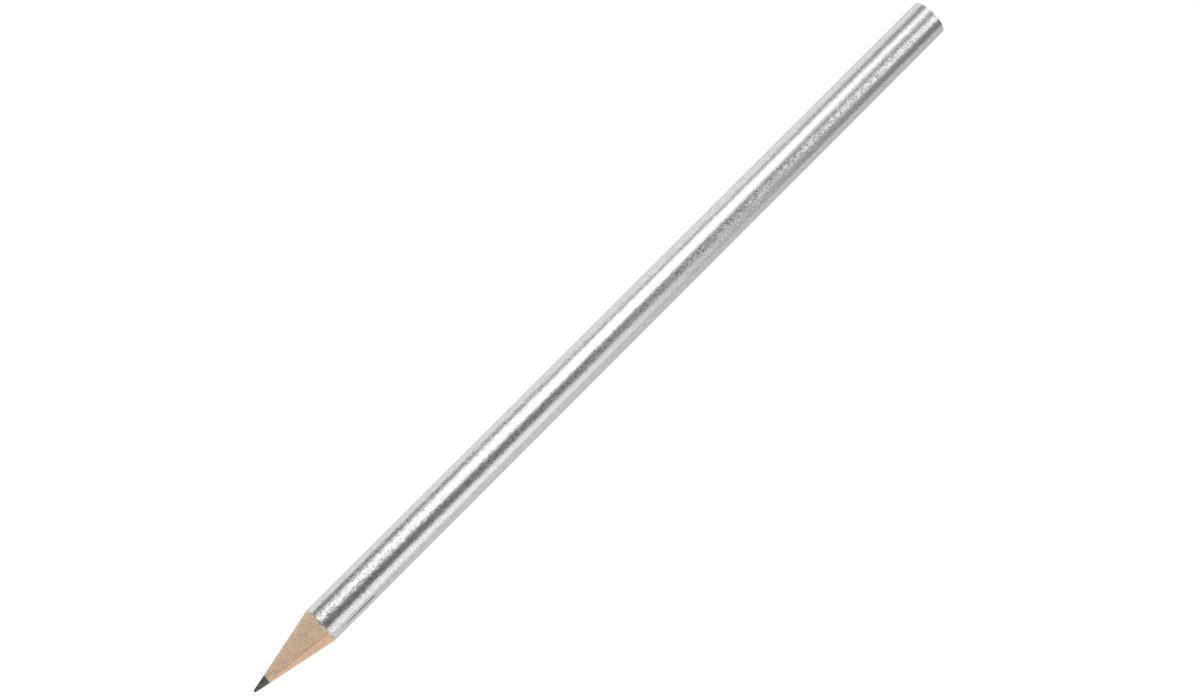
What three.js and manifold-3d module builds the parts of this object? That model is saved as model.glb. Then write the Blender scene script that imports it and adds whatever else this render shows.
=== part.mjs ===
// A round wood-cased graphite pencil, sharpened, with a coat of silver lacquer.
// Millimetres, +Z up. It lies on the bottom facet of its barrel, with the point towards -X
// and the flat butt end towards +X. The origin is the middle of the bottom of its box.

import * as THREE from "three";
import { mergeVertices } from "three/addons/utils/BufferGeometryUtils.js";
import Module from "manifold-3d";

const wasm = await Module();
wasm.setup();

// Driving dimensions. Diameters of round pieces are taken across two opposite facets.
const LENGTH = 175; // from the point to the butt end
const BARREL_DIAMETER = 7.4; // over the lacquer
const LEAD_DIAMETER = 1.75;
const GLUE_THICKNESS = 0.1; // between the two slats
const GROOVE_CLEARANCE = 0.03; // round the lead in its groove, also filled with glue
const UNDERCOAT_THICKNESS = 0.035;
const LACQUER_THICKNESS = 0.035;
const SHARPENED_ANGLE = THREE.MathUtils.degToRad(23.6); // full angle of the sharpened cone
const POINT_RADIUS = 0.3; // the worn, rounded point of the lead
const SEAM_ANGLE = THREE.MathUtils.degToRad(120); // the glue line, turned from +Y towards +Z

// Roundness
const FACETS = 24; // round every piece. One faces straight down and is wide enough to rest on
const POINT_STEPS = 6; // steps in the arc of the rounded point

// How far the cutting shapes run past the pieces that they cut
const CUT_MARGIN = 1;

const FACET_HALF_ANGLE = Math.PI / FACETS;

// Radii from the axis to the middle of a facet, from the outside in.
const LACQUER_RADIUS = BARREL_DIAMETER / 2;
const UNDERCOAT_RADIUS = LACQUER_RADIUS - LACQUER_THICKNESS;
const WOOD_RADIUS = UNDERCOAT_RADIUS - UNDERCOAT_THICKNESS;
const LEAD_RADIUS = LEAD_DIAMETER / 2;
const GROOVE_RADIUS = LEAD_RADIUS + GROOVE_CLEARANCE;

// The pencil's own frame while it is built: its axis is X, the point is at 0, the butt at LENGTH.
const X_AXIS = new THREE.Vector3(1, 0, 0);
const Y_AXIS = new THREE.Vector3(0, 1, 0);
const Z_AXIS = new THREE.Vector3(0, 0, 1);

// Distance from the axis to a corner between two facets.
function cornerRadius(facetRadius) {
  return facetRadius / Math.cos(FACET_HALF_ANGLE);
}

// A closed three.js geometry as a solid that can be cut and joined.
function solidFrom(geometry) {
  const bare = geometry.clone();
  bare.deleteAttribute("normal");
  bare.deleteAttribute("uv");
  const merged = mergeVertices(bare, 1e-5);
  return new wasm.Manifold(
    new wasm.Mesh({
      numProp: 3,
      vertProperties: merged.attributes.position.array,
      triVerts: new Uint32Array(merged.index.array),
    }),
  );
}

// A solid's triangles as a three.js geometry with flat facets.
function geometryFrom(solid) {
  const mesh = solid.getMesh();
  const geometry = new THREE.BufferGeometry();
  geometry.setAttribute("position", new THREE.BufferAttribute(mesh.vertProperties, 3));
  geometry.setIndex(new THREE.BufferAttribute(mesh.triVerts, 1));
  const faceted = geometry.toNonIndexed();
  faceted.computeVertexNormals();
  return faceted;
}

// A faceted rod of the pencil's whole length.
function rod(facetRadius) {
  const outline = [];
  for (let i = 0; i < FACETS; i++) {
    const angle = (2 * i + 1) * FACET_HALF_ANGLE;
    const radius = cornerRadius(facetRadius);
    outline.push(new THREE.Vector2(radius * Math.cos(angle), radius * Math.sin(angle)));
  }
  const geometry = new THREE.ExtrudeGeometry(new THREE.Shape(outline), {
    depth: LENGTH,
    bevelEnabled: false,
  });
  geometry.applyMatrix4(new THREE.Matrix4().makeBasis(Y_AXIS, Z_AXIS, X_AXIS));
  return solidFrom(geometry);
}

// A film of even thickness round the barrel, between two radii.
function coat(outerRadius, innerRadius) {
  return rod(outerRadius).subtract(rod(innerRadius));
}

// Everything that the sharpener leaves: one cone with a rounded point, cut through all pieces.
function sharpenedEnvelope() {
  const halfAngle = SHARPENED_ANGLE / 2;
  const sharpApex = POINT_RADIUS - POINT_RADIUS / Math.sin(halfAngle);
  const tangentAngle = Math.PI / 2 - halfAngle;
  const profile = [];
  for (let i = 0; i <= POINT_STEPS; i++) {
    const angle = (tangentAngle * i) / POINT_STEPS;
    const along = POINT_RADIUS * (1 - Math.cos(angle));
    profile.push(new THREE.Vector2(cornerRadius(POINT_RADIUS * Math.sin(angle)), along));
  }
  const end = LENGTH + CUT_MARGIN;
  const endRadius = (end - sharpApex) * Math.tan(halfAngle);
  profile.push(new THREE.Vector2(cornerRadius(endRadius), end));
  profile.push(new THREE.Vector2(0, end));
  const geometry = new THREE.LatheGeometry(profile, FACETS, FACET_HALF_ANGLE);
  geometry.applyMatrix4(new THREE.Matrix4().makeBasis(Z_AXIS, X_AXIS, Y_AXIS));
  return solidFrom(geometry);
}

// A block that is as long as the pencil and lies along the glue plane, between two distances
// from it. Distances are positive on the side of the upper slat.
function blockAlongSeam(from, to) {
  const width = BARREL_DIAMETER + 2 * CUT_MARGIN;
  const geometry = new THREE.BoxGeometry(LENGTH + 2 * CUT_MARGIN, width, to - from);
  geometry.translate(LENGTH / 2, 0, (from + to) / 2);
  geometry.rotateX(SEAM_ANGLE - Math.PI);
  return solidFrom(geometry);
}

function mesh(name, solid, color, roughness, metalness) {
  const material = new THREE.MeshStandardMaterial({ color, roughness, metalness });
  const made = new THREE.Mesh(geometryFrom(solid), material);
  made.name = name;
  return made;
}

const pencil = new THREE.Group();
pencil.name = "wood_cased_pencil";
pencil.position.set(-LENGTH / 2, 0, BARREL_DIAMETER / 2);

const envelope = sharpenedEnvelope();
const seamReach = BARREL_DIAMETER / 2 + CUT_MARGIN;

// The lead: a fired rod of graphite and clay, sharpened together with the wood round it.
const lead = rod(LEAD_RADIUS).intersect(envelope);
pencil.add(mesh("lead_core", lead, 0x4b4c4a, 0.4, 0.2));

// The glue: it fills the thin gap between the slats and round the lead in its groove.
const seamGlue = rod(WOOD_RADIUS).intersect(blockAlongSeam(-GLUE_THICKNESS / 2, GLUE_THICKNESS / 2));
const glue = seamGlue.add(rod(GROOVE_RADIUS)).subtract(rod(LEAD_RADIUS)).intersect(envelope);
pencil.add(mesh("glue_film", glue, 0x8f745c, 0.6, 0));

// The casing: two grooved half-round slats of softwood, glued together over the lead.
const casing = coat(WOOD_RADIUS, GROOVE_RADIUS).intersect(envelope);
const upperSlat = casing.intersect(blockAlongSeam(GLUE_THICKNESS / 2, seamReach));
const lowerSlat = casing.intersect(blockAlongSeam(-seamReach, -GLUE_THICKNESS / 2));
pencil.add(mesh("upper_slat", upperSlat, 0xbca28b, 0.75, 0));
pencil.add(mesh("lower_slat", lowerSlat, 0xd0ac8b, 0.75, 0));

// The coats: an off-white filler straight on the wood, then lacquer with aluminium flakes.
const undercoat = coat(UNDERCOAT_RADIUS, WOOD_RADIUS).intersect(envelope);
const lacquer = coat(LACQUER_RADIUS, UNDERCOAT_RADIUS).intersect(envelope);
pencil.add(mesh("undercoat", undercoat, 0xd8d2c4, 0.7, 0));
pencil.add(mesh("silver_lacquer", lacquer, 0xc4c4c6, 0.35, 0.9));

export default pencil;
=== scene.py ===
import math

import bmesh
import bpy
from mathutils import Matrix, Vector, noise


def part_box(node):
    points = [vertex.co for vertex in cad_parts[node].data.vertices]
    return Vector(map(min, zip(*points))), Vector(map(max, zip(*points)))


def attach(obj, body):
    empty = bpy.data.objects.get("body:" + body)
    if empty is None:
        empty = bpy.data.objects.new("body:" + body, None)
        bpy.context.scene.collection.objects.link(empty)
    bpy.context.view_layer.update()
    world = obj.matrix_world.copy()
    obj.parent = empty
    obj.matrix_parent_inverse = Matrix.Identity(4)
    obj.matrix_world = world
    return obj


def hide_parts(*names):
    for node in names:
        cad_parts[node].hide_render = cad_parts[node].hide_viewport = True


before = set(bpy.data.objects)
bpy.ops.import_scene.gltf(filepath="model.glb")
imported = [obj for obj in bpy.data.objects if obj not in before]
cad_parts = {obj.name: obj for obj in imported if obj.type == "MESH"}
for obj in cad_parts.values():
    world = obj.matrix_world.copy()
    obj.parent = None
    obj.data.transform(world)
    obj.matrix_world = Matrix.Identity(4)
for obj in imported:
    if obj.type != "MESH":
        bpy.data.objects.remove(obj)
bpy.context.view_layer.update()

# ----------------------------------------------------------------------------------------------
# The lead: a fired rod of graphite and clay, in one piece from the point to the butt end.
# The sharpener has cut its end to a cone together with the wood, writing has worn the point
# round, and the blade has left faint rings in its dark, slightly shiny surface.

lead_low, lead_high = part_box("lead_core")
LEAD_RADIUS = (lead_high.y - lead_low.y) / 2
AXIS_HEIGHT = (lead_high.z + lead_low.z) / 2
POINT = lead_low.x
BUTT = lead_high.x

# One cut runs through every piece. Its slope follows from where the glue and the lacquer start.
undercoat_low, undercoat_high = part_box("undercoat")
UNDERCOAT_RADIUS = (undercoat_high.y - undercoat_low.y) / 2
GLUE_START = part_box("glue_film")[0].x
LACQUER_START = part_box("silver_lacquer")[0].x
CONE_SLOPE = (UNDERCOAT_RADIUS - LEAD_RADIUS) / (LACQUER_START - GLUE_START)
CONE_HALF_ANGLE = math.atan(CONE_SLOPE)
SHARP_APEX = GLUE_START - LEAD_RADIUS / CONE_SLOPE
POINT_RADIUS = (POINT - SHARP_APEX) / (1 / math.sin(CONE_HALF_ANGLE) - 1)
NOSE_EDGE = POINT_RADIUS * math.cos(CONE_HALF_ANGLE)

ROUND_STEPS = 128  # points in a full turn round the axis
SHARP_EDGE = math.radians(9)  # a crease steeper than this stays crisp
HUB_SHARE = 0.05  # a flat end closes with a small face this share of its radius

GRAPHITE = (0.072, 0.083, 0.069, 1)
GRAPHITE_SHINE = (0.115, 0.130, 0.110, 1)


def sharpened_x(radius, angle):
    """How far along the pencil the sharpener's cut reaches a radius, at an angle round the axis."""
    if radius < NOSE_EDGE:
        along = POINT + POINT_RADIUS - math.sqrt(POINT_RADIUS**2 - radius**2)
    else:
        along = SHARP_APEX + radius / CONE_SLOPE
    turn = Vector((radius * 4e3, 2 * math.cos(angle), 2 * math.sin(angle)))
    off_centre = (12e-5 * math.cos(angle) + 10e-5 * math.sin(angle)) * min(1, radius / LEAD_RADIUS)
    lobes = -12e-5 * math.cos(4 * angle) + 5e-5 * math.sin(7 * angle + 1) - 10e-5 * math.sin(angle)
    chatter = 5e-5 * noise.noise(turn)
    return along + off_centre + (lobes + chatter) * radius / UNDERCOAT_RADIUS


def pencil_point(along, radius, angle):
    """A point at a radius and an angle from +Y towards +Z. Along is in metres, or None on the cut."""
    if along is None:
        along = sharpened_x(radius, angle)
    return Vector((along, radius * math.cos(angle), AXIS_HEIGHT + radius * math.sin(angle)))


def steps(start, end, count):
    """Evenly spaced numbers from start to end, both included."""
    return [start + (end - start) * i / count for i in range(count + 1)]


def turn_angles():
    """The angles of one full turn."""
    return [2 * math.pi * i / ROUND_STEPS for i in range(ROUND_STEPS)]


def skin(name, rings, looped=False):
    """A closed skin over rings of points. The last ring meets the first, or both are closed off."""
    shape = bmesh.new()
    grid = [[shape.verts.new(point) for point in ring] for ring in rings]
    neighbours = list(zip(grid, grid[1:]))
    if looped:
        neighbours.append((grid[-1], grid[0]))
    else:
        shape.faces.new(grid[0])
        shape.faces.new(grid[-1])
    for near, far in neighbours:
        for i in range(len(near)):
            shape.faces.new((near[i - 1], near[i], far[i], far[i - 1]))
    bmesh.ops.recalc_face_normals(shape, faces=shape.faces)
    for face in shape.faces:
        face.smooth = True
    for edge in shape.edges:
        edge.smooth = edge.calc_face_angle(0) < SHARP_EDGE
    mesh = bpy.data.meshes.new(name)
    shape.to_mesh(mesh)
    shape.free()
    piece = bpy.data.objects.new(name, mesh)
    bpy.context.scene.collection.objects.link(piece)
    return piece


class Signal:
    """A socket that shader maths starts from. Arithmetic on it adds Math nodes."""

    def __init__(self, finish, socket):
        self.finish = finish
        self.socket = socket

    def math(self, operation, *values):
        return self.finish.node("ShaderNodeMath", {"operation": operation}, dict(enumerate(values)))

    def __add__(self, other):
        return self.math("ADD", self, other)

    def __radd__(self, other):
        return self.math("ADD", other, self)

    def __rsub__(self, other):
        return self.math("SUBTRACT", other, self)

    def __mul__(self, other):
        return self.math("MULTIPLY", self, other)

    def __rmul__(self, other):
        return self.math("MULTIPLY", other, self)


class Finish:
    """A material while its nodes are laid. Distances in it are in millimetres."""

    def __init__(self, name):
        self.material = bpy.data.materials.new(name)
        self.material.use_nodes = True
        self.tree = self.material.node_tree
        self.tree.nodes.clear()
        place = self.node("ShaderNodeTexCoord", output="Object")
        self.place = self.vector("SCALE", place, Scale=1000)

    def node(self, kind, settings=None, values=None, output=0):
        """Adds a node of a kind with its settings, then its values or links. Gives one output."""
        made = self.tree.nodes.new(kind)
        for setting, value in (settings or {}).items():
            setattr(made, setting, value)
        for name, value in (values or {}).items():
            if isinstance(value, Signal):
                self.tree.links.new(value.socket, made.inputs[name])
            else:
                made.inputs[name].default_value = value
        return None if output is None else Signal(self, made.outputs[output])

    def vector(self, operation, first, second=None, Scale=None):
        """Vector maths on one or two directions or places."""
        values = {0: first}
        if second is not None:
            values[1] = second
        if Scale is not None:
            values["Scale"] = Scale
        return self.node("ShaderNodeVectorMath", {"operation": operation}, values)

    def mottle(self, per_mm, detail=2, roughness=0.5, offset=(0, 0, 0), output="Fac"):
        """Cloudy variation between about 0.3 and 0.7, with its scale along X, Y and Z."""
        place = self.node(
            "ShaderNodeMapping", None, {"Vector": self.place, "Location": offset, "Scale": per_mm}
        )
        values = {"Vector": place, "Scale": 1, "Detail": detail, "Roughness": roughness}
        return self.node("ShaderNodeTexNoise", None, values, output)

    def between(self, signal, low, high):
        """0 where the signal is under low, 1 where it is over high, and smooth in between."""
        values = {"Value": signal, "From Min": low, "From Max": high}
        return self.node("ShaderNodeMapRange", {"interpolation_type": "SMOOTHSTEP"}, values)

    def blend(self, share, first, second, mode="MIX"):
        """A colour between two others."""
        settings = {"data_type": "RGBA", "blend_type": mode}
        return self.node("ShaderNodeMix", settings, {0: share, 6: first, 7: second}, 2)

    def relief(self, height, depth_mm, under=None):
        """The surface's direction over a relief of a height from 0 to 1."""
        values = {"Height": height, "Distance": depth_mm / 1000, "Strength": 1}
        if under is not None:
            values["Normal"] = under
        return self.node("ShaderNodeBump", None, values)

    def coat(self, piece, slot=None, **sockets):
        """Ends the material in one Principled shader and puts it on a piece. The slot is not used."""
        names = {name.replace("_", " "): value for name, value in sockets.items()}
        shader = self.node("ShaderNodeBsdfPrincipled", None, names)
        self.node("ShaderNodeOutputMaterial", None, {"Surface": shader}, output=None)
        piece.data.materials.append(self.material)


nose_turns = steps(0.03, math.pi / 2 - CONE_HALF_ANGLE, 14)[:-1]
nose = [(None, POINT_RADIUS * math.sin(turn)) for turn in nose_turns]
lead_cone = [(None, r) for r in steps(NOSE_EDGE, LEAD_RADIUS, 30)]
lead_butt = [(BUTT, r) for r in steps(LEAD_RADIUS, LEAD_RADIUS * HUB_SHARE, 8)]
lead = skin(
    "lead",
    [
        [pencil_point(along, radius, angle) for angle in turn_angles()]
        for along, radius in nose + lead_cone + lead_butt
    ],
)
graphite = Finish("graphite")
blade_rings = graphite.mottle((7, 0.5, 0.5), detail=3)
graphite_grain = graphite.mottle((14, 14, 14), detail=2)
worn = graphite.between(graphite.mottle((1.6, 1.6, 1.6), offset=(3, 0, 0)), 0.42, 0.62)
graphite.coat(
    lead,
    "graphite_lead",
    Base_Color=graphite.blend(worn, GRAPHITE, GRAPHITE_SHINE),
    Metallic=0.0,
    Specular_IOR_Level=0.06,
    Roughness=0.48 + 0.16 * graphite_grain,
    Normal=graphite.relief(graphite_grain, 0.006, graphite.relief(blade_rings, 0.012)),
)
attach(lead, "root")
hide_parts("lead_core")

# ----------------------------------------------------------------------------------------------
# The glue: a white wood glue that dries to a brown line. It is squeezed thin between the two
# slats and fills the clearance of the groove round the lead. Its line is darkest at the barrel.

WOOD_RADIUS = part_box("upper_slat")[1].y
GLUE_THICKNESS = 0.0001
GROOVE_CLEARANCE = 0.00003
GROOVE_RADIUS = LEAD_RADIUS + GROOVE_CLEARANCE
GLUE_OVERLAP = 0.00001  # how far the glue lines run into the glue round the lead
CUT_WANDER = 0.0006  # the barrel's even part starts this far behind the true cone
CUT_STEPS = 120  # along the cut through the wood
SEAM_ANGLE = math.radians(120)  # from +Y towards +Z

GLUE_DARK = (0.16, 0.105, 0.05, 1)
GLUE_PALE = (0.46, 0.33, 0.24, 1)
GLUE_PALE_MM = -82
GLUE_DARK_MM = -71


def tube_profile(inner, outer, cut_steps):
    """Once round the section of a tube: out along the cut, along the barrel, and back inside."""
    cut = [(None, r) for r in steps(inner, outer, cut_steps)]
    start = SHARP_APEX + outer / CONE_SLOPE + CUT_WANDER
    barrel = [(start, outer), (BUTT, outer)]
    butt = [(BUTT, r) for r in steps(outer, inner, 6)[1:]]
    return cut + barrel + butt


def tube(name, profile):
    """A tube round the axis from the points of its section."""
    rings = [[pencil_point(x, radius, angle) for angle in turn_angles()] for x, radius in profile]
    return skin(name, rings, looped=True)


def off_seam(along, radius, side, offset):
    """A point at an offset from the glue plane, on the edge of the seam at SEAM_ANGLE or opposite it."""
    angle = SEAM_ANGLE + side + math.asin(offset / radius)
    return pencil_point(along, radius, angle)


glue_strip_profile = tube_profile(GROOVE_RADIUS - GLUE_OVERLAP, WOOD_RADIUS, CUT_STEPS)
glue_parts = [tube("glue", tube_profile(LEAD_RADIUS, GROOVE_RADIUS, 4))]
for side in (0, math.pi):
    layers = [
        [off_seam(x, radius, side, offset) for x, radius in glue_strip_profile]
        for offset in steps(-GLUE_THICKNESS / 2, GLUE_THICKNESS / 2, 2)
    ]
    glue_parts.append(skin("glue_line", layers))
glue = glue_parts[0]
with bpy.context.temp_override(active_object=glue, selected_editable_objects=glue_parts):
    bpy.ops.object.join()
glue_finish = Finish("dried glue")
along_glue = glue_finish.node("ShaderNodeSeparateXYZ", None, {0: glue_finish.place}, "X")
squeezed = glue_finish.mottle((1.3, 4, 4), detail=3)
glue_shade = glue_finish.between(along_glue + 6 * squeezed, GLUE_PALE_MM, GLUE_DARK_MM)
glue_finish.coat(
    glue,
    "wood_glue",
    Base_Color=glue_finish.blend(glue_shade, GLUE_PALE, GLUE_DARK),
    Roughness=0.45 + 0.2 * squeezed,
    Normal=glue_finish.relief(squeezed, 0.02),
)
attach(glue, "root")
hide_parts("glue_film")

# ----------------------------------------------------------------------------------------------
# The slats: two grooved half-rounds of a light, even softwood, glued together over the lead.
# The bare wood of the cone shows fibres, small darker pores and the sharpener's fine rings, and
# the butt end shows the growth rings across. The lower slat is from a warmer piece of wood, and its
# colours are also painted lighter than the upper slat's, as painted light on the pencil's front.

SLAT_STEPS = 96  # round half of the barrel

UPPER_WOOD = (0.585, 0.405, 0.283, 1)
UPPER_WOOD_DARK = (0.47, 0.32, 0.22, 1)
UPPER_WOOD_LIGHT = (0.64, 0.46, 0.335, 1)
# The lower slat's colours: a warmer wood, and also painted lighter than the upper slat's as painted
# light on the front.
LOWER_WOOD_AND_PAINTED_LIGHT = (0.655, 0.435, 0.275, 1)
LOWER_WOOD_DARK_AND_PAINTED_LIGHT = (0.58, 0.44, 0.25, 1)
LOWER_WOOD_PALE_AND_PAINTED_LIGHT = (0.78, 0.43, 0.31, 1)
UNDER_PAINT = (0.55, 0.45, 0.26, 1)
PORE_BROWN = (0.24, 0.15, 0.09, 1)
HALF_YEAR_MM = 0.8  # half the width of one growth ring
STAIN_START_MM = -67  # the paint has tinted the wood from here
STAIN_END_MM = -60


def slat(name, side):
    """Half of the casing, between the two edges of the glue line."""
    rings = []
    for share in steps(0, 1, SLAT_STEPS):
        ring = []
        for x, radius in tube_profile(GROOVE_RADIUS, WOOD_RADIUS, CUT_STEPS):
            edge = math.asin(GLUE_THICKNESS / 2 / radius)
            angle = SEAM_ANGLE + side + edge + (math.pi - 2 * edge) * share
            ring.append(pencil_point(x, radius, angle))
        rings.append(ring)
    return skin(name, rings)


def wood(name, middle, dark, light, ring_tilt, offset):
    """Softwood cut in any direction: the grain runs along the pencil through the whole slat."""
    finish = Finish(name)
    drift = finish.mottle((0.05, 0.3, 0.3), offset=offset)
    across = (0, math.cos(ring_tilt), math.sin(ring_tilt))
    depth = finish.node(
        "ShaderNodeVectorMath", {"operation": "DOT_PRODUCT"}, {0: finish.place, 1: across}, "Value"
    )
    wavy_depth = depth + 3 * drift
    year = wavy_depth.math("PINGPONG", wavy_depth, HALF_YEAR_MM)
    late_wood = finish.between(year, 0.55, HALF_YEAR_MM)
    fibres = finish.mottle((0.35, 5, 5), detail=3, roughness=0.6, offset=offset)
    clouds = finish.mottle((0.7, 1.4, 1.4), offset=offset)
    speckle = finish.mottle((3.2, 4.5, 4.5), detail=2, roughness=0.6, offset=offset)
    pores = finish.between(finish.mottle((1.3, 7, 7), detail=1, offset=offset), 0.61, 0.71)
    colour = finish.blend(finish.between(fibres, 0.35, 0.68), dark, light)
    colour = finish.blend(0.35, colour, middle)
    colour = finish.blend(0.35 * late_wood, colour, dark)
    colour = finish.blend(finish.between(clouds, 0.35, 0.7) * 0.5, colour, light)
    shade = 0.44 + 1.12 * speckle
    grey = finish.node("ShaderNodeCombineColor", None, {0: shade, 1: shade, 2: shade})
    colour = finish.blend(1.0, colour, grey, "MULTIPLY")
    colour = finish.blend(0.45 * pores, colour, PORE_BROWN)
    near_paint = finish.node("ShaderNodeSeparateXYZ", None, {0: finish.place}, "X")
    olive = finish.between(near_paint + 9 * (drift + clouds), STAIN_START_MM, STAIN_END_MM)
    colour = finish.blend(0.45 * olive, colour, UNDER_PAINT)
    blade_rings = finish.mottle((5, 0.5, 0.5), detail=3, roughness=0.6)
    torn = finish.relief(fibres, 0.06, finish.relief(blade_rings, 0.035))
    return finish, colour, 0.66 + 0.2 * speckle, finish.relief(pores, -0.02, torn)


upper_wood = wood("upper wood", UPPER_WOOD, UPPER_WOOD_DARK, UPPER_WOOD_LIGHT, 0.9, (0, 0, 0))
# The lower slat's finish carries painted light: its wood is painted lighter than the upper slat's.
lower_wood_and_painted_light = wood("lower wood and painted light", LOWER_WOOD_AND_PAINTED_LIGHT, LOWER_WOOD_DARK_AND_PAINTED_LIGHT, LOWER_WOOD_PALE_AND_PAINTED_LIGHT, 2.2, (9, 5, 2))
slats = [("upper_slat", -math.pi, upper_wood), ("lower_slat", 0, lower_wood_and_painted_light)]
for node, side, (finish, colour, roughness, direction) in slats:
    piece = slat(node + "_wood", side)
    finish.coat(piece, "casing_wood", Base_Color=colour, Roughness=roughness, Normal=direction)
    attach(piece, "root")
    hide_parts(node)

# ----------------------------------------------------------------------------------------------
# The undercoat: an off-white filler, put straight on the wood to close its pores. It only shows
# as a thin cream line where the sharpener has cut it, and where the lacquer has chipped.

FILLER = (0.70, 0.65, 0.55, 1)
FILLER_STAINED = (0.36, 0.28, 0.18, 1)

undercoat = tube("cream_filler", tube_profile(WOOD_RADIUS, UNDERCOAT_RADIUS, 4))
filler = Finish("cream filler")
stain = filler.between(filler.mottle((0.7, 0.7, 0.7), detail=3), 0.44, 0.56)
filler_grain = filler.mottle((12, 12, 12))
filler.coat(
    undercoat,
    "undercoat",
    Base_Color=filler.blend(stain, FILLER, FILLER_STAINED),
    Roughness=0.6 + 0.2 * filler_grain,
    Normal=filler.relief(filler_grain, 0.01),
)
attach(undercoat, "root")
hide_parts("undercoat")

# ----------------------------------------------------------------------------------------------
# The silver lacquer: a clear binder full of small aluminium flakes, put on in thin coats. Each
# flake lies at its own slight tilt, so the coat glitters finely and spreads its highlights. Its
# edge at the cone has small chips. A thin dark line of painted shadow reflection runs along its
# front near the point, painted into its colour.

lacquer_low, lacquer_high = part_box("silver_lacquer")
LACQUER_RADIUS = (lacquer_high.y - lacquer_low.y) / 2
RIM_ROUND = 0.00004
CHIPPED_EDGE = 0.0009  # the lacquer's even part starts this far behind the true cone

FLAKES = (0.37, 0.37, 0.37, 1)
FLAKES_BRIGHT = (0.525, 0.525, 0.525, 1)
# A painted reflection of shadow: a thin dark line in the lacquer's colour along its front, heaviest near
# the cone and fading along the barrel.
SHADOW_REFLECTION_GREY = (0.10, 0.10, 0.10, 1)
SHADOW_REFLECTION_ANGLE = math.radians(144.5)  # from +Y towards +Z, on the front
SHADOW_REFLECTION_WIDTH_MM = 0.30
SHADOW_REFLECTION_START_MM = -70.5
SHADOW_REFLECTION_DARK_MM = -65.5
SHADOW_REFLECTION_END_MM = -61.0
SHADOW_REFLECTION_FADE_MM = -28
CLUSTER_SIZE_MM = 0.19  # flakes that lie together
CLUSTER_TILT = 0.09


def chip(angle):
    """How far the lacquer's edge is broken back along the pencil, at an angle round the axis."""
    bite = noise.noise(Vector((3.1 * math.cos(angle), 3.1 * math.sin(angle), 4.7)))
    crumbs = noise.noise(Vector((11 * math.cos(angle), 11 * math.sin(angle), 1.3)))
    return 0.0005 * max(0, bite - 0.22) + 0.0003 * max(0, crumbs)


def lacquer_point(along, radius, angle):
    """A point of the lacquer, which lies a few thousandths of a millimetre out of true."""
    chipped = chip(angle)
    if along is None:
        return pencil_point(sharpened_x(radius, angle) + chipped, radius, angle)
    place = Vector((along * 90, 1.5 * math.cos(angle), 1.5 * math.sin(angle)))
    swell = 4e-6 * noise.noise(place) if radius > UNDERCOAT_RADIUS else 0
    return pencil_point(along, radius + min(0, swell), angle)


lacquer_start = SHARP_APEX + LACQUER_RADIUS / CONE_SLOPE + CHIPPED_EDGE
lacquer_profile = [(None, r) for r in steps(UNDERCOAT_RADIUS, LACQUER_RADIUS, 4)]
lacquer_profile += [(x, LACQUER_RADIUS) for x in steps(lacquer_start, BUTT - RIM_ROUND, 220)]
lacquer_profile += [(BUTT, LACQUER_RADIUS - RIM_ROUND / 2), (BUTT, UNDERCOAT_RADIUS)]
lacquer = skin(
    "flake_lacquer",
    [[lacquer_point(x, radius, angle) for angle in turn_angles()] for x, radius in lacquer_profile],
    looped=True,
)
silver = Finish("aluminium flake lacquer")
flakes = silver.node(
    "ShaderNodeTexVoronoi", None, {"Vector": silver.place, "Scale": 1 / CLUSTER_SIZE_MM}, "Color"
)
tilt = silver.vector("SCALE", silver.vector("SUBTRACT", flakes, (0.5, 0.5, 0.5)), Scale=CLUSTER_TILT)
along_barrel = silver.node("ShaderNodeSeparateXYZ", None, {0: silver.place}, "X")
# Where the painted shadow reflection lies round the axis and along the barrel, and how dark it is.
shadow_reflection_line = 1000 * pencil_point(0, LACQUER_RADIUS, SHADOW_REFLECTION_ANGLE)
off_shadow_reflection = silver.node(
    "ShaderNodeVectorMath",
    {"operation": "DISTANCE"},
    {0: silver.vector("MULTIPLY", silver.place, (0, 1, 1)), 1: shadow_reflection_line},
    "Value",
)
on_shadow_reflection = 1 - silver.between(off_shadow_reflection, 0.4 * SHADOW_REFLECTION_WIDTH_MM, 0.9 * SHADOW_REFLECTION_WIDTH_MM)
heavy = silver.between(along_barrel, SHADOW_REFLECTION_START_MM, SHADOW_REFLECTION_DARK_MM)
heavy = heavy * (1 - silver.between(along_barrel, SHADOW_REFLECTION_END_MM, SHADOW_REFLECTION_END_MM + 0.5))
faint = silver.between(along_barrel, SHADOW_REFLECTION_START_MM, SHADOW_REFLECTION_END_MM)
faint = faint * (1 - silver.between(along_barrel, SHADOW_REFLECTION_END_MM, SHADOW_REFLECTION_FADE_MM))
painted_shadow_reflection = on_shadow_reflection * (0.75 * heavy + 0.25 * faint)
smooth = silver.node("ShaderNodeNewGeometry", output="Normal")
flake_brightness = silver.node("ShaderNodeSeparateColor", None, {0: flakes}, "Red")
silver_colour = silver.blend(flake_brightness, FLAKES, FLAKES_BRIGHT)
silver.coat(
    lacquer,
    "silver_lacquer",
    Base_Color=silver.blend(painted_shadow_reflection, silver_colour, SHADOW_REFLECTION_GREY),
    Metallic=1.0,
    Specular_Tint=(0.74, 0.74, 0.74, 1),
    Roughness=0.27 + 0.03 * flake_brightness,
    Normal=silver.vector("NORMALIZE", silver.vector("ADD", smooth, tilt)),
)
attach(lacquer, "root")
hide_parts("silver_lacquer")

# ----------------------------------------------------------------------------------------------
# The table: a wide, pale acrylic sheet with a painted glow in its colour, brightest behind the
# pencil and dimmer in front of it and towards the butt, as painted light and painted shade, so that
# the pencil's shadow all but disappears.

TABLE_REACH = 4.0
ACRYLIC = (0.45, 0.45, 0.45, 1)
ACRYLIC_HAZE = (0.46, 0.46, 0.46, 1)
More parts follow.
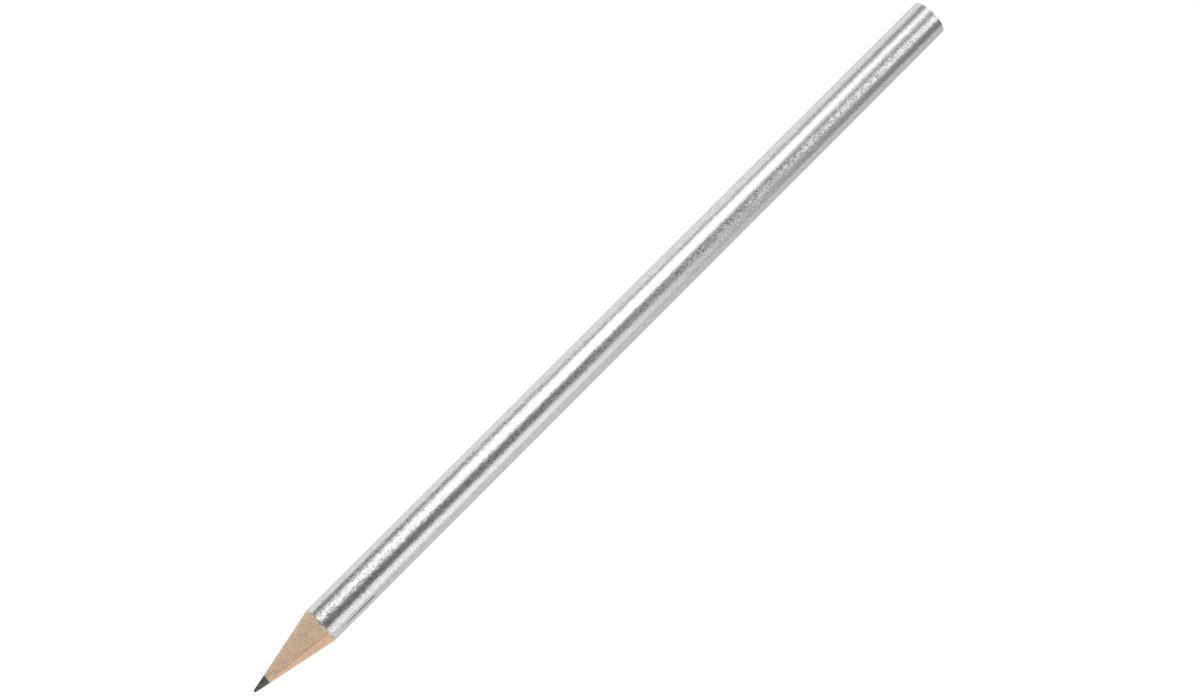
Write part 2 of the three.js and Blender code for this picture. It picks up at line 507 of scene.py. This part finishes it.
# Painted glow of the sheet: painted light behind the pencil, painted shade in front of it and towards
# the butt.
PAINTED_GLOW_POINT = (0.84, 0.84, 0.84, 1)
PAINTED_GLOW_BUTT = (0.68, 0.68, 0.68, 1)
PAINTED_GLOW_BEHIND = (1.20, 1.20, 1.20, 1)
POINT_SIDE_MM = -60
BUTT_SIDE_MM = 90
BEHIND_START_MM = -8
BEHIND_END_MM = 14

sheet = bmesh.new()
corners = [(-TABLE_REACH, -TABLE_REACH), (TABLE_REACH, -TABLE_REACH)]
corners += [(TABLE_REACH, TABLE_REACH), (-TABLE_REACH, TABLE_REACH)]
sheet.faces.new([sheet.verts.new((x, y, 0)) for x, y in corners])
table_mesh = bpy.data.meshes.new("table")
sheet.to_mesh(table_mesh)
sheet.free()
table = bpy.data.objects.new("table", table_mesh)
bpy.context.scene.collection.objects.link(table)
acrylic = Finish("pale acrylic")
haze = acrylic.mottle((0.01, 0.01, 0.01))
beside = acrylic.node("ShaderNodeSeparateXYZ", None, {0: acrylic.place}, "X")
behind = acrylic.node("ShaderNodeSeparateXYZ", None, {0: acrylic.place}, "Y")
# The painted glow: dimmer towards the butt, and brighter behind the pencil than in front.
painted_glow = acrylic.blend(
    acrylic.between(beside, POINT_SIDE_MM, BUTT_SIDE_MM), PAINTED_GLOW_POINT, PAINTED_GLOW_BUTT
)
painted_glow_share = acrylic.between(behind, BEHIND_START_MM, BEHIND_END_MM)
acrylic.coat(
    table,
    Base_Color=acrylic.blend(haze, ACRYLIC, ACRYLIC_HAZE),
    Roughness=0.8,
    Emission_Color=acrylic.blend(painted_glow_share, painted_glow, PAINTED_GLOW_BEHIND),
    Emission_Strength=1,
)

# ----------------------------------------------------------------------------------------------
# The lights: soft boxes beside and over the pencil, each facing its axis. They lean across the
# pencil and lie along it, and the grey room fills the shadows.

LIGHT_DISTANCE = 1.0
ROOM_GREY = 0.2


def soft_box(name, lean, width, along, length, brightness):
    """A soft box that leans from straight up towards -Y, in degrees. Width is across the pencil."""
    turn = math.radians(lean)
    outward = Vector((0, -math.sin(turn), math.cos(turn)))
    across = Vector((0, math.cos(turn), math.sin(turn)))
    centre = outward * LIGHT_DISTANCE + Vector((along, 0, 0))
    lamp = bpy.data.lights.new(name, "AREA")
    lamp.shape = "RECTANGLE"
    lamp.size = length
    lamp.size_y = width
    lamp.energy = math.pi * length * width * brightness
    holder = bpy.data.objects.new(name, lamp)
    holder.matrix_world = Matrix((Vector((1, 0, 0)), across, outward)).transposed().to_4x4()
    holder.location = centre
    holder.visible_camera = False
    bpy.context.scene.collection.objects.link(holder)


soft_box("back key", lean=-35, width=1.2, along=0.2, length=0.4, brightness=2.0)
soft_box("back top strip", lean=-20, width=0.25, along=0.15, length=0.25, brightness=2.0)
soft_box("back long panel", lean=-37, width=0.4, along=0.45, length=1.2, brightness=1.5)
soft_box("back low strip", lean=-82, width=0.1, along=0.25, length=0.25, brightness=4.5)
soft_box("front top key", lean=26, width=0.7, along=0.5, length=0.2, brightness=4.0)
soft_box("front low fill", lean=62, width=0.8, along=0.05, length=0.4, brightness=2.0)
soft_box("front floor strip", lean=80, width=0.2, along=-0.65, length=1.0, brightness=3.0)
soft_box("butt light", lean=5, width=0.5, along=1.2, length=0.4, brightness=0.8)
soft_box("point light", lean=10, width=0.9, along=-1.4, length=1.5, brightness=2.8)

room = bpy.data.worlds.new("room")
room.use_nodes = True
backdrop = room.node_tree.nodes["Background"]
backdrop.inputs["Color"].default_value = (ROOM_GREY, ROOM_GREY, ROOM_GREY, 1)
bpy.context.scene.world = room
bpy.context.scene.view_settings.view_transform = "Standard"

# ----------------------------------------------------------------------------------------------
# The camera: a long lens high over the table, a little towards the point, rolled so that the
# pencil lies across the picture from the lower left to the upper right.

CAMERA_DISTANCE = 0.524
LENS_MM = 87
SENSOR_MM = 36
CAMERA_LEAN = math.radians(10.05)  # from straight up towards the point
CAMERA_ROLL = math.radians(44.99)  # between the picture's width and the pencil
AIM = Vector((-0.00085, -0.00049, AXIS_HEIGHT))

away = Vector((-math.sin(CAMERA_LEAN), 0, math.cos(CAMERA_LEAN)))
along_pencil = Vector((math.cos(CAMERA_LEAN), 0, math.sin(CAMERA_LEAN)))
across_pencil = Vector((0, -1, 0))
right = along_pencil * math.cos(CAMERA_ROLL) + across_pencil * math.sin(CAMERA_ROLL)
up = along_pencil * math.sin(CAMERA_ROLL) - across_pencil * math.cos(CAMERA_ROLL)
lens = bpy.data.cameras.new("camera")
lens.lens = LENS_MM
lens.sensor_width = SENSOR_MM
camera = bpy.data.objects.new("camera", lens)
camera.matrix_world = Matrix((right, up, away)).transposed().to_4x4()
camera.location = AIM + away * CAMERA_DISTANCE
bpy.context.scene.collection.objects.link(camera)
bpy.context.scene.camera = camera
